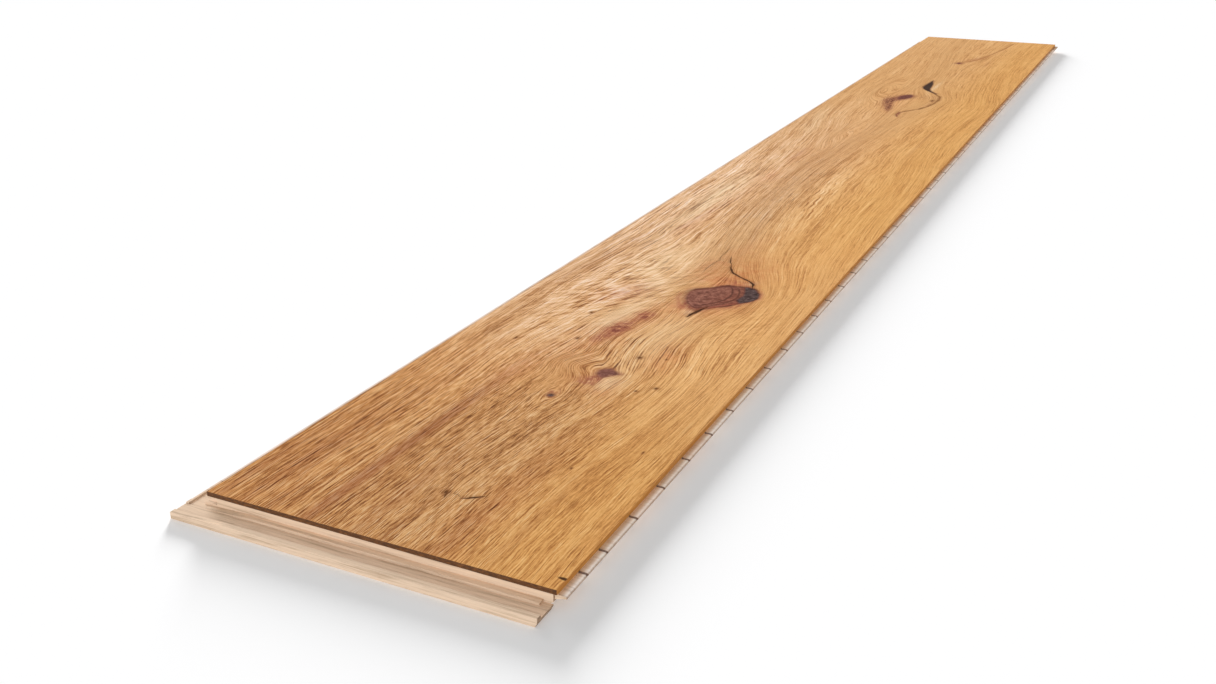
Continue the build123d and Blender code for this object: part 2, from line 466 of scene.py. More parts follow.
def vector_attribute(name, a, b, c):
    at = mesh.attributes.new(name, "FLOAT_VECTOR", "POINT")
    at.data.foreach_set("vector", np.stack([a, b, c], -1).astype(np.float32).ravel())


S = ring_coordinate(VX, VY)
vector_attribute("grain", S, VY, VX)
d_main = np.clip(outline(VX, VY, MAIN), -60, 60)
d_dark = np.minimum.reduce([outline(VX, VY, p) for p in (MAIN_DARK, EYE, SPLIT)])
d_patch = np.minimum.reduce([outline(VX, VY, p) for p in (PATCH, FAR_DARK, FAR_EYE)])


def smooth(v, lo, hi):
    t = np.clip((v - lo) / (hi - lo), 0, 1)
    return t * t * (3 - 2 * t)


red = (1.25 * gauss(VX, VY, 122, 378, 6.8, 15, -8) + 0.55 * gauss(VX, VY, 115, 350, 5, 8, 0)
       + 0.95 * gauss(VX, VY, 131, 417, 6, 9, 0) + 0.85 * gauss(VX, VY, 151, 274, 4.5, 9, 10)
       + 0.5 * gauss(VX, VY, 142, 266, 6, 7, 0) + 0.6 * gauss(VX, VY, 133.5, 233, 4.6, 7.5, 6)
       + 0.75 * gauss(VX, VY, 155, 456, 10, 9, 0) + 0.55 * gauss(VX, VY, 172, 536, 12, 8, -20)
       + 0.55 * gauss(VX, VY, 196, 472, 4, 16, -35) + 0.45 * gauss(VX, VY, 88, 545 - 80, 12, 30, -20)
       + 1.0 * gauss(VX, VY, 96, 1448, 6.5, 32, 12) + 1.1 * gauss(VX, VY, 101, 1498, 10.5, 24, -14)
       + 0.8 * gauss(VX, VY, 107, 1412, 3.5, 18, 10) + 0.9 * gauss(VX, VY, 130, 1378, 3.0, 15, 6)
       + 0.4 * gauss(VX, VY, 158, 1470, 4, 34, -6) + 0.35 * gauss(VX, VY, 150, 1530, 14, 20, 0)
       + 0.4 * gauss(VX, VY, 126, 1887, 5, 10, 0))
vector_attribute("knots", d_main, np.clip(d_dark, -60, 60), red)
halo = (0.45 * gauss(VX, VY, 112, 330, 22, 34) + 0.7 * gauss(VX, VY, 152, 452, 16, 18, -20) + 1.0 * gauss(VX, VY, 164, 532, 17, 13) + 0.5 * gauss(VX, VY, 165, 575, 28, 40)
        + 0.5 * gauss(VX, VY, 190, 455, 14, 26, -30) + 0.45 * gauss(VX, VY, 62, 705, 8, 44) + 0.5 * gauss(VX, VY, 146, 268, 12, 16, 15)
        + 0.6 * gauss(VX, VY, 122, 378, 12, 26, -8) + 0.5 * gauss(VX, VY, 131, 418, 11, 15, 0)
        + 0.70 * gauss(VX, VY, 187, 338, 11, 26, 0) + 0.5 * gauss(VX, VY, 88, 462, 16, 26, -20)
        + 0.35 * gauss(VX, VY, 140, 556, 12, 20, 0) + 0.4 * gauss(VX, VY, 180, 560, 14, 26, 0)
        + 0.35 * gauss(VX, VY, 106, 1465, 14, 70, 3) + 0.55 * gauss(VX, VY, 84, 262, 9, 22, 0)
        + 0.3 * gauss(VX, VY, 60, 830, 10, 60, 0) + 0.35 * gauss(VX, VY, 180, 60, 12, 60, 0)
        + 0.3 * gauss(VX, VY, 150, 640, 10, 60, -14) + 0.35 * gauss(VX, VY, 170, 250, 8, 20, 0)
        + 0.45 * gauss(VX, VY, 73, 932, 8, 22, 0) + 0.3 * gauss(VX, VY, 72, 1060, 5, 40, 0) + 0.2 * gauss(VX, VY, 120, 1060, 40, 160, 0))
brown = (1.1 * gauss(VX, VY, 81, 50, 4.6, 90) + 0.6 * gauss(VX, VY, 83, 190, 5, 60) + 0.85 * gauss(VX, VY, 30, 70, 4.5, 70)
         + 0.5 * gauss(VX, VY, 9, 40, 3, 60) + 0.4 * gauss(VX, VY, 62, 40, 2.5, 60) + 0.35 * gauss(VX, VY, 96, 60, 2.5, 70)
         + 0.45 * gauss(VX, VY, 40, 60, 2.0, 60) + 0.4 * gauss(VX, VY, 214, 60, 3, 50) + 0.35 * gauss(VX, VY, 140, 30, 3, 40)
         + 0.6 * gauss(VX, VY, 51, 10, 4, 34) + 0.5 * gauss(VX, VY, 119, 60, 6, 60) + 0.45 * gauss(VX, VY, 177, 20, 6, 36)
         + 0.3 * gauss(VX, VY, 12, 60, 8, 80) + 0.3 * gauss(VX, VY, 44, 200, 5, 90) + 0.3 * gauss(VX, VY, 182, 120, 6, 70)
         + 0.4 * gauss(VX, VY, 70, 1056, 3, 26) + 0.5 * gauss(VX, VY, 176, 1892, 2.5, 30)
         + 0.5 * gauss(VX, VY, 207, 1200, 1.8, 80) + 0.75 * gauss(VX, VY, 145, 1938, 6, 38, -19)
         + 0.3 * gauss(VX, VY, 24, 560, 3, 110, -6) + 0.35 * gauss(VX, VY, 57, 700, 3, 110, -6)
         + 0.3 * gauss(VX, VY, 36, 830, 3, 90, -3) + 0.3 * gauss(VX, VY, 136, 700, 4, 70, 10))
# pale wood flecks and streaks, with painted highlights beside the cracks and painted sheen over the left middle
pale_and_highlight = (0.75 * gauss(VX, VY, 48, 800, 13, 110) + 0.6 * gauss(VX, VY, 137, 1622, 2.5, 36) + 0.45 * gauss(VX, VY, 92, 560, 22, 50) + 0.7 * gauss(VX, VY, 110, 408, 8, 26, -8)
        + 0.4 * gauss(VX, VY, 104, 490, 8, 26) + 0.35 * gauss(VX, VY, 30, 1270, 8, 60, 8) + 0.5 * gauss(VX, VY, 163, 272, 8, 12)
        + 0.8 * gauss(VX, VY, 162, 441, 2.5, 5, 0) + 0.7 * gauss(VX, VY, 188, 537, 3.0, 5, -30) + 0.3 * gauss(VX, VY, 165, 380, 14, 50))
vector_attribute("tint", halo, brown, pale_and_highlight)
vector_attribute("marks", np.clip(d_patch, -60, 60), smooth(VY, 1290, 1340), smooth(VX, 150, 20) * (1 - smooth(VY, 150, 420)))
right = smooth(VX, 140, 235)
near = 1 - smooth(VY, 120, 460 - 150 * right)
value = 1.0 - 0.26 * near * (1 - 0.16 * smooth(VX, 60, 150)) * (1 - 0.5 * right)
# painted sheen: paler over the left of the face, from the near third to past the middle
soft = smooth(VX, 185, 30) * smooth(VY, 110, 540) * (1 - 0.88 * smooth(VY, 900, 1650))
gold = right * (0.25 + 0.75 * smooth(VY, 480, 820) + 0.75 * near)
value += 0.05 * smooth(VX, 185, 230) * smooth(VY, 190, 290) * (1 - smooth(VY, 640, 820))
value += 0.03 * smooth(VX, 100, 55) * smooth(VY, 480, 700) * (1 - smooth(VY, 980, 1080))
vector_attribute("shade", value, soft, np.clip(gold, 0, 1))
calm = np.clip(1 - 0.30 * gauss(VX, VY, 122, 281, 10, 14) - 0.45 * gauss(VX, VY, 117, 262, 24, 22), 0.04, 1)
rings = calm * ((0.34 + 0.22 * near * (1 - right) + 0.7 * gauss(VX, VY, 180, 350, 60, 70) + 0.62 * gauss(VX, VY, 122, 306, 28, 26)
          + 0.4 * gauss(VX, VY, 40, 750, 40, 300)) * (1 - 0.6 * smooth(VY, 1200, 1700)))
curly = 1.4 * gauss(VX, VY, 96, 470, 34, 52, -20) + 0.8 * gauss(VX, VY, 84, 540, 28, 44) + 0.5 * gauss(VX, VY, 50, 400, 40, 60) + 0.6 * gauss(VX, VY, 215, 430, 24, 50)
vector_attribute("zones", rings, curly, smooth(VY, 1700, 1800))
amp = (0.52 + 0.72 * near * (1 - 0.72 * right) + 0.35 * gauss(VX, VY, 150, 345, 70, 80) + 0.70 * gauss(VX, VY, 30, 720, 36, 260) + 0.3 * gauss(VX, VY, 110, 520, 40, 120)
       + 0.55 * gauss(VX, VY, 130, 860, 34, 160) + 0.12 * gauss(VX, VY, 40, 1250, 30, 120) + 0.25 * gauss(VX, VY, 130, 860, 26, 120))
amp = amp * (0.25 + 0.75 * calm) * (1 - 0.2 * gauss(VX, VY, 35, 265, 40, 60)) * (1 - 0.24 * gauss(VX, VY, 122, 80, 30, 80))
amp = amp * (1 - 0.2 * gauss(VX, VY, 118, 610, 30, 50))
cs, cw = crack_fields(VX, VY)
vector_attribute("crack", cs, cw, amp)

mesh.polygons.foreach_set("material_index", mats)
mesh.polygons.foreach_set("use_smooth", [mt == 0 for mt in mats])
mesh.update()


def oak_material():
    g = Graph("oak_face_oil")
    S_, T_, X_ = g.split(g.attr("grain"))
    dmain, ddark, red_ = g.split(g.attr("knots"))
    dpatch, far_, nl_ = g.split(g.attr("marks"))
    rings_, curly_, end_ = g.split(g.attr("zones"))
    halo_, brown_, pale_and_highlight_ = g.split(g.attr("tint"))
    value_, painted_sheen_, gold_ = g.split(g.attr("shade"))
    cs_, cw_, amp_ = g.split(g.attr("crack"))
    flat = g.xyz(X_, T_, 0.0)                               # mm on the face

    def mul(a, b, clamp=False):
        return g.m("MULTIPLY", a, b, clamp=clamp)

    def add(a, b, clamp=False):
        return g.m("ADD", a, b, clamp=clamp)

    def centred(n, gain):
        return mul(g.m("SUBTRACT", n, 0.5), gain)

    def tinted(fac, color, tint):
        return g.mix(fac, color, g.mix(1.0, color, tint, "MULTIPLY"))

    # the fibres waver a little
    wob = mul(centred(g.noise(g.xyz(mul(X_, 0.02), mul(T_, 0.010), 3.1), 1.0, 3.0), 5.0), g.lin(nl_, 0.0, 1.0, 1.0, 0.55))
    wob2 = mul(centred(g.noise(g.xyz(mul(X_, 0.08), mul(T_, 0.045), 8.7), 1.0, 2.0), 1.7), g.lin(nl_, 0.0, 1.0, 1.0, 0.3))
    Sw = add(add(S_, wob), wob2)

    def streak(ks, kt, seed, detail=2.0, rough=0.55):
        return g.noise(g.xyz(mul(Sw, ks), mul(T_, kt), seed), 1.0, detail, rough)

    broad = streak(0.055, 0.0016, 1.0, 2.0)                 # wide bands
    band = streak(0.24, 0.0034, 7.0, 3.0, 0.6)              # growth bands
    fine = streak(0.85, 0.0100, 13.0, 3.0, 0.65)            # fine lines
    hair = streak(2.1, 0.024, 19.0, 2.0, 0.6)               # fibre
    pores = streak(1.3, 0.038, 29.0, 1.0, 0.5)
    patch = g.noise(flat, 0.035, 2.0, 0.5)                  # where the lines are strong or faint
    cloud = g.noise(flat, 0.011, 3.0, 0.55)
    cross = g.noise(g.xyz(mul(Sw, 0.5), mul(T_, 0.35), 41.0), 1.0, 3.0, 0.65)   # brush and ray flecks
    # curly figure above and around the big knot
    figure = g.noise(g.xyz(mul(add(X_, mul(T_, -0.75)), 0.22), mul(add(X_, T_), 0.032), 55.0), 1.0, 2.0, 0.45)
    # ring lines about three millimetres apart, coming and going
    phase = add(mul(Sw, 0.36), centred(g.noise(g.xyz(mul(S_, 0.09), mul(T_, 0.008), 71.0), 1.0, 3.0), 4.5))
    tri = mul(g.m("ABSOLUTE", g.m("SUBTRACT", g.m("FRACT", phase), 0.5)), 2.0)
    ring = mul(g.step(tri, 0.36, 0.98), g.lin(streak(0.45, 0.022, 83.0, 2.0), 0.36, 0.64, 0.0, 1.0))
    near_ = g.lin(value_, 0.78, 1.0, 1.0, 0.0)
    nr_ = mul(near_, g.m("SUBTRACT", 1.0, nl_))
    stroke = streak(0.42, 0.020, 91.0, 2.0, 0.6)            # short bold strokes
    stipple = streak(1.15, 0.085, 97.0, 2.0, 0.6)           # short fibre dashes
    tone = add(centred(broad, 0.42), mul(mul(centred(band, 0.66), g.lin(nl_, 0.0, 1.0, 1.0, 1.3)), g.lin(nr_, 0.0, 1.0, 1.0, 0.55)))
    tone = add(tone, mul(mul(centred(fine, 1.35), g.lin(patch, 0.3, 0.7, 0.5, 1.4)), mul(g.lin(nl_, 0.0, 1.0, 1.0, 1.45), g.lin(nr_, 0.0, 1.0, 1.0, 0.60))))
    tone = add(tone, mul(centred(hair, 0.70), add(g.lin(nl_, 0.0, 1.0, 1.0, 1.9), mul(nr_, 1.1))))
    tone = add(tone, mul(centred(stroke, 0.85), g.m("MAXIMUM", mul(nl_, 0.45), mul(near_, 0.25))))
    tone = add(tone, mul(centred(stipple, 1.0), add(add(0.30, mul(near_, 0.80)), mul(nr_, 0.55))))
    tone = add(tone, mul(centred(figure, 1.05), curly_))
    tone = add(tone, mul(mul(add(0.10, mul(ring, -0.42)), rings_), g.lin(nr_, 0.0, 1.0, 1.0, 0.7)))
    tone = add(add(0.5, mul(tone, amp_)), centred(cross, 0.26))
    color = g.ramp(tone, [
        (0.08, rgb(118, 70, 38)), (0.30, rgb(176, 121, 70)), (0.50, rgb(217, 164, 104)),
        (0.70, rgb(233, 187, 130)), (0.92, rgb(246, 214, 168))])
    color = g.mix(1.0, color, (1.03, 1.045, 1.08), "MULTIPLY")
    color = g.mix(1.0, color, g.xyz(value_, mul(value_, g.lin(value_, 0.7, 1.0, 0.965, 1.0)), value_), "MULTIPLY")
    # painted sheen: the colour paled and cooled where this field is high
    color = tinted(mul(painted_sheen_, g.lin(tone, 0.28, 0.60, 0.15, 1.07)), color, (1.05, 1.17, 1.62))
    color = tinted(nl_, color, (1.10, 1.02, 0.88))
    color = tinted(near_, color, (1.06, 1.01, 0.92))
    color = tinted(gold_, color, (1.02, 0.975, 0.80))
    color = tinted(g.lin(cloud, 0.35, 0.65, 0.0, 0.45), color, (0.93, 0.87, 0.80))
    # pale flecks mixed in, with the painted highlights and sheen of the same field
    color = g.mix(mul(pale_and_highlight_, g.lin(fine, 0.38, 0.6, 0.25, 1.15), clamp=True), color, rgb(243, 216, 176))
    bfac = mul(brown_, g.lin(band, 0.3, 0.7, 0.6, 1.25), clamp=True)
    color = tinted(bfac, color, (0.66, 0.52, 0.50))
    hfac = mul(halo_, g.lin(g.noise(flat, 0.09, 3.0, 0.6), 0.3, 0.7, 0.3, 1.3), clamp=True)
    color = tinted(hfac, color, (0.88, 0.68, 0.64))
    # pores: short dark dashes along the fibres
    pmask = g.step(pores, 0.585, 0.70)
    color = tinted(mul(mul(pmask, g.lin(curly_, 0.1, 0.9, 0.72, 0.15)), amp_, clamp=True), color, (0.58, 0.44, 0.36))
    # knots
    wav = centred(g.noise(flat, 0.10, 3.0, 0.6), 9.0)
    grit = centred(g.noise(flat, 0.35, 3.0, 0.65), 5.0)
    rr = mul(red_, g.lin(g.noise(flat, 0.20, 4.0, 0.7), 0.34, 0.66, 0.35, 1.45))
    rr = mul(rr, g.lin(fine, 0.35, 0.65, 1.25, 0.65))
    color = g.mix(mul(g.step(rr, 0.04, 0.90), 0.82), color, g.mix(far_, rgb(160, 90, 68), rgb(150, 90, 64)))
    color = g.mix(mul(g.step(rr, 0.66, 1.25), 0.80), color, g.mix(far_, rgb(118, 58, 46), rgb(104, 56, 44)))
    km = add(dmain, add(mul(wav, 0.30), mul(grit, 0.35)))
    shoulder = g.step(add(X_, mul(T_, 0.55)), 422.0, 402.0)   # fades out towards the near left
    inside = g.m("SUBTRACT", 1.0, g.step(km, g.lin(shoulder, 0.0, 1.0, -1.6, -10.0), g.lin(shoulder, 0.0, 1.0, 1.6, 6.0)))
    curl = g.noise(g.xyz(mul(dmain, 0.22), mul(add(X_, T_), 0.03), 61.0), 1.0, 3.0, 0.65)
    mott = g.noise(flat, 0.22, 4.0, 0.7)
    knot_color = g.ramp(g.lin(add(mul(curl, 0.34), mul(mott, 0.66)), 0.38, 0.62), [
        (0.0, rgb(92, 50, 42)), (0.45, rgb(126, 74, 62)), (1.0, rgb(162, 108, 90))])
    low_side = g.step(add(mul(X_, 0.9), mul(T_, -0.25)), 24.0, 54.0)        # reddest towards the right edge
    knot_color = tinted(low_side, knot_color, (0.94, 0.78, 0.70))
    knot_color = g.mix(g.step(km, -7.0, -1.5, 0.0, 0.7), knot_color,
                       g.mix(g.step(T_, 480.0, 505.0), rgb(148, 78, 60), rgb(100, 48, 38)))
    # two dark curved lines low in the knot
    bow = g.m("SUBTRACT", X_, add(182.0, mul(g.m("POWER", mul(g.m("SUBTRACT", T_, 497.0), 0.04), 2.0), -9.0)))
    for off, w_ in ((0.0, 1.0), (7.0, 0.8)):
        ln = g.m("ABSOLUTE", add(g.m("SUBTRACT", bow, off), mul(wav, 0.35)))
        knot_color = g.mix(mul(g.step(ln, w_ + 0.8, w_ - 0.8), g.step(km, -3.0, -7.0, 0.0, 0.8)), knot_color, rgb(74, 36, 32))
    color = g.mix(mul(inside, 0.96), color, knot_color)
    rim_ = mul(mul(g.step(km, -3.2, -0.8), g.step(km, 2.2, 0.4)), g.m("SUBTRACT", 1.0, shoulder))
    color = g.mix(mul(rim_, g.lin(g.noise(flat, 0.06, 2.0), 0.35, 0.6, 0.15, 0.85), clamp=True), color, rgb(84, 42, 32))
    glow = mul(g.step(km, 8.0, 1.0), g.step(km, 0.2, 1.6))
    color = g.mix(mul(glow, g.lin(g.noise(flat, 0.05, 2.0), 0.35, 0.65, 0.2, 0.75)), color, rgb(178, 106, 78))
    kd = add(ddark, add(mul(wav, 0.24), mul(grit, 0.30)))
    kp = add(dpatch, add(mul(wav, 0.24), mul(grit, 0.35)))
    color = g.mix(g.step(kp, g.lin(far_, 0.0, 1.0, 5.0, 10.0), -1.0, 0.0, 0.60), color, rgb(150, 92, 68))
    color = g.mix(g.step(kp, 1.6, -2.6, 0.0, 0.92), color,
                  g.mix(g.lin(mott, 0.38, 0.62), g.mix(far_, rgb(92, 50, 44), rgb(84, 42, 38)), g.mix(far_, rgb(140, 90, 78), rgb(128, 76, 66))))
    color = g.mix(g.step(kd, 3.2, -0.6, 0.0, 0.6), color, rgb(112, 62, 50))
    color = g.mix(g.step(kd, 0.9, -1.9, 0.0, 0.92), color,
                  g.mix(far_, g.mix(g.lin(mott, 0.38, 0.62), rgb(42, 28, 26), rgb(100, 82, 80)), rgb(46, 31, 26)))
    # cracks
    wig = centred(g.noise(flat, 0.09, 2.0, 0.5), 3.0)
    cd = g.m("ABSOLUTE", add(cs_, wig))
    gap = g.m("SUBTRACT", cd, mul(cw_, g.lin(g.noise(flat, 0.05, 2.0), 0.3, 0.7, 0.5, 1.3)))
    open_ = g.step(gap, 0.35, -0.3)
    near_ = mul(g.step(gap, 3.6, 0.0), g.step(cw_, 0.0, 0.5))
    color = g.mix(mul(near_, g.lin(far_, 0.0, 1.0, 0.42, 0.20)), color, rgb(132, 80, 48))
    # the far split line is only a brown stain
    stain = g.mix(end_, g.mix(g.step(T_, 1385.0, 1400.0), rgb(132, 70, 52), rgb(134, 86, 42)), rgb(172, 112, 62))
    color = g.mix(mul(open_, g.lin(far_, 0.0, 1.0, 0.92, 0.68)), color, g.mix(far_, rgb(64, 37, 20), stain))
    dark = mul(open_, g.m("SUBTRACT", 1.0, far_))
    # pin knots
    pins = None
    for (ax, ay, hw, hl) in PINS:
        d = g.vm("LENGTH", g.vm("MULTIPLY", g.vm("SUBTRACT", flat, (ax, ay, 0.0)), (1 / hw, 1 / hl, 0.0)))
        pins = d if pins is None else g.m("MINIMUM", pins, d)
    pins = add(pins, mul(grit, 0.22))
    color = g.mix(g.step(pins, 2.6, 0.8, 0.0, 0.5), color, rgb(140, 88, 50))
    pin = g.step(pins, 1.15, 0.3)
    color = g.mix(mul(pin, 0.80), color, rgb(92, 54, 28))
    # the nick in the near right edge
    nick = g.vm("LENGTH", g.vm("MULTIPLY", g.vm("SUBTRACT", flat, (261.5, 12.6, 0.0)), (1 / 4.2, 1 / 1.5, 0.0)))
    color = g.mix(g.step(nick, 1.3, 0.7, 0.0, 0.92), color, rgb(52, 28, 14))
    dark = g.m("MAXIMUM", dark, pin)
    # a slightly darker line along the edges
    ex = g.m("MINIMUM", X_, g.m("SUBTRACT", W, X_))
    ey = g.m("MINIMUM", T_, g.m("SUBTRACT", L, T_))
    edge = add(g.m("MINIMUM", ex, ey), centred(g.noise(flat, 0.12, 3.0), 1.6))
    color = g.mix(g.step(edge, 1.0, -0.2, 0.0, 0.5), color, rgb(158, 98, 48))
    # finish: matt oil, fibres a little proud
    rough = add(0.78, mul(fine, 0.12))
    rough = add(rough, mul(pmask, 0.08))
    rough = add(rough, mul(dark, 0.3), clamp=True)
    h = add(mul(fine, 1.0), mul(hair, 0.55))
    h = add(h, mul(cross, 0.35))
    h = g.m("SUBTRACT", h, mul(pmask, 0.30))
    h = g.m("SUBTRACT", h, mul(dark, 1.2))
    nrm = g.bump(h, 0.0005, 0.8)
    return g.finish(color, rough, nrm, spec=0.10, ior=1.35)


def oak_side_material(name, end):
    """Cut side of the oak: long side with fibres along the board, or end grain."""
    g = Graph(name)
    p = g.vm("SCALE", g.pos(), scale=1000.0)
    x, y, z = g.split(p)
    if end:
        v = g.xyz(g.m("MULTIPLY", x, 0.35), g.m("MULTIPLY", y, 0.35), g.m("MULTIPLY", z, 0.9))
        n = g.noise(v, 1.0, 4.0, 0.65)
        por = g.noise(g.xyz(g.m("MULTIPLY", x, 3.5), y, g.m("MULTIPLY", z, 3.0)), 1.0, 1.0)
        color = g.ramp(g.lin(n, 0.3, 0.7), [(0.0, rgb(60, 35, 14)), (0.5, rgb(84, 50, 20)), (1.0, rgb(114, 72, 34))])
        color = g.mix(g.step(por, 0.58, 0.7, 0.0, 0.5), color, rgb(60, 34, 20))
    else:
        v = g.xyz(g.m("MULTIPLY", x, 0.3), g.m("MULTIPLY", y, 0.012), g.m("MULTIPLY", z, 1.6))
        n = g.noise(v, 1.0, 4.0, 0.6)
        por = g.noise(g.xyz(x, g.m("MULTIPLY", y, 0.12), g.m("MULTIPLY", z, 5.0)), 1.0, 1.0)
        color = g.ramp(g.lin(n, 0.3, 0.7), [(0.0, rgb(178, 108, 40)), (0.5, rgb(206, 136, 56)), (1.0, rgb(224, 160, 80))])
        color = g.mix(g.step(por, 0.6, 0.72, 0.0, 0.4), color, rgb(110, 64, 30))
    nrm = g.bump(por, 0.00012, 0.5)
    return g.finish(color, g.m("ADD", 0.55, g.m("MULTIPLY", n, 0.2)), nrm, spec=0.35)


def light_wood(name, along, base, seed, slats=None, dark=0.16, front_face_shade=(1.0, 1.0, 1.0), painted_flat_light=(), nose=None,
               gap_shade_at=None, inner=None, box=None, tongue=None, wall_shade_x=None):
    """Pale core timber. along: the fibre's axis, 0 across or 1 along the board."""
    g = Graph(name)
    p = g.vm("SCALE", g.pos(), scale=1000.0)
    x, y, z = g.split(p)
    geo = g.t.nodes.new("ShaderNodeNewGeometry")
    nx_, ny_, nz_ = g.split(geo.outputs["True Normal"])
    k = [0.55, 0.55, 0.55]
    k[along] = 0.018
    v = g.xyz(g.m("MULTIPLY", x, k[0]), g.m("MULTIPLY", y, k[1]), g.m("ADD", g.m("MULTIPLY", z, k[2]), seed))
    n = g.noise(v, 1.0, 4.0, 0.6)
    v2 = g.xyz(g.m("MULTIPLY", x, k[0] * 4), g.m("MULTIPLY", y, k[1] * 4), g.m("ADD", g.m("MULTIPLY", z, k[2] * 4), seed))
    f = g.noise(v2, 1.0, 3.0, 0.6)
    b = np.array(base, float)
    color = g.ramp(g.lin(g.m("ADD", g.m("MULTIPLY", n, 0.65), g.m("MULTIPLY", f, 0.35)), 0.36, 0.64), [
        (0.0, tuple(b * (1 - dark * 2.2) * np.array([1, 0.94, 0.86]))), (0.5, tuple(b)),
        (1.0, tuple(np.minimum(b * 1.1, 0.95)))])
    if slats:
        first, pitch = slats
        rel = g.m("DIVIDE", g.m("SUBTRACT", y, first), pitch)
        i = g.m("FLOOR", rel)
        w1 = g.white(i)
        w2 = g.white(g.m("ADD", i, 17.3))
        color = g.mix(g.lin(w1, 0.0, 1.0, 0.0, 0.75), color, g.mix(1.0, color, (0.88, 0.82, 0.76), "MULTIPLY"))
        color = g.mix(g.lin(w2, 0.3, 1.0, 0.0, 0.6), color, g.mix(1.0, color, (1.0, 0.90, 0.84), "MULTIPLY"))
        # painted shade at the gaps between slats: each slat darkened towards its ends
        to_gap = g.m("MULTIPLY", g.m("SUBTRACT", 0.5, g.m("ABSOLUTE", g.m("SUBTRACT", g.m("FRACT", rel), 0.5))), pitch)
        color = g.mix(g.step(to_gap, 1.5, 0.8, 0.0, 0.85), color, rgb(112, 80, 62))
    # painted shade at the given gaps between the strips
    if gap_shade_at:
        to_gap = None
        for e in gap_shade_at:
            d = g.m("ABSOLUTE", g.m("SUBTRACT", y, e))
            to_gap = d if to_gap is None else g.m("MINIMUM", to_gap, d)
        color = g.mix(g.step(to_gap, 1.5, 0.8, 0.0, 0.85), color, rgb(112, 80, 62))
    # painted shade: faces turned to the front are darkened
    if front_face_shade != (1.0, 1.0, 1.0):
        color = g.mix(g.step(ny_, -0.3, -0.7), color, g.mix(1.0, color, front_face_shade, "MULTIPLY"))
    for z0, z1, tint in painted_flat_light:                             # painted light and shade on flats at their own heights: some lightened, the lip's top darkened
        fac = g.m("MULTIPLY", g.m("MULTIPLY", g.step(z, z1 + 0.1, z1), g.step(z, z0 - 0.1, z0)), g.step(nz_, 0.5, 0.9))
        fac = g.m("MULTIPLY", fac, g.step(x, olo.x / MM + 12.0, olo.x / MM + 45.0))
        color = g.mix(fac, color, g.mix(1.0, color, tint, "MULTIPLY"))
    if tongue:                                              # the tongue is cleaner than the flats in front
        fac = g.m("MULTIPLY", g.step(x, inner - 0.5, inner + 0.3), g.step(ny_, -0.7, -0.3))
        color = g.mix(fac, color, g.mix(1.0, color, tongue, "MULTIPLY"))
    # painted shade and warm bounce light on the tongue beside the oak's side
    if inner:
        fac = g.m("MULTIPLY", g.step(x, inner + 4.5, inner + 0.5), g.step(x, inner - 1.0, inner - 0.5))
        fac = g.m("MULTIPLY", fac, g.step(ny_, -0.7, -0.3))
        color = g.mix(fac, color, g.mix(1.0, color, (0.86, 0.68, 0.50), "MULTIPLY"))
    if wall_shade_x:                                                # painted shade on the right end faces of the locking lip and of the core behind it
        fac = g.m("MULTIPLY", g.step(nx_, 0.5, 0.9), g.m("MULTIPLY", g.step(x, wall_shade_x - 2.4, wall_shade_x - 2.0), g.step(x, wall_shade_x + 0.6, wall_shade_x + 0.3)))
        color = g.mix(fac, color, g.mix(1.0, color, (0.66, 0.60, 0.56), "MULTIPLY"))
    # painted shade along the tongue's nose
    if nose:
        color = g.mix(g.step(x, nose - 1.0, nose - 0.3), color, g.mix(1.0, color, (0.62, 0.52, 0.46), "MULTIPLY"))
    rough = g.m("ADD", 0.62, g.m("MULTIPLY", n, 0.2))
    if box:                                                 # outer corners rubbed and a little soiled
        lo, hi = ([c / MM for c in v] for v in box)
        dx, dy, dz = (g.m("MINIMUM", g.m("SUBTRACT", c, a), g.m("SUBTRACT", b_, c)) for c, a, b_ in zip((x, y, z), lo, hi))
        med = g.m("MAXIMUM", g.m("MINIMUM", dx, dy), g.m("MINIMUM", g.m("MAXIMUM", dx, dy), dz))
        rub = g.noise(p, 0.11, 3.0, 0.6)
        worn_ = g.step(g.m("ADD", med, g.m("MULTIPLY", g.m("SUBTRACT", rub, 0.5), 3.0)), 0.8, -0.1)
        color = g.mix(g.m("MULTIPLY", worn_, 0.45), color, g.mix(1.0, color, (0.80, 0.72, 0.64), "MULTIPLY"))
        rough = g.m("SUBTRACT", rough, g.m("MULTIPLY", worn_, 0.12))
    nrm = g.bump(f, 0.00012, 0.5)
    return g.finish(color, rough, nrm, spec=0.2)


for mt in (oak_material(), oak_side_material("oak_long_side", False), oak_side_material("oak_end_grain", True),
           oak_side_material("oak_glue_face", False)):
    mesh.materials.append(mt)
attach(oak, "root")
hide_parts("oak_wear_layer")

# ---------------------------------------------------------------- core and backing
pale_wood = rgb(216, 188, 160)
slat_wood = rgb(247, 231, 218)
y0 = olo.y / MM
side_x = ohi.x / MM
nose_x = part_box("core_slats")[1].x / MM
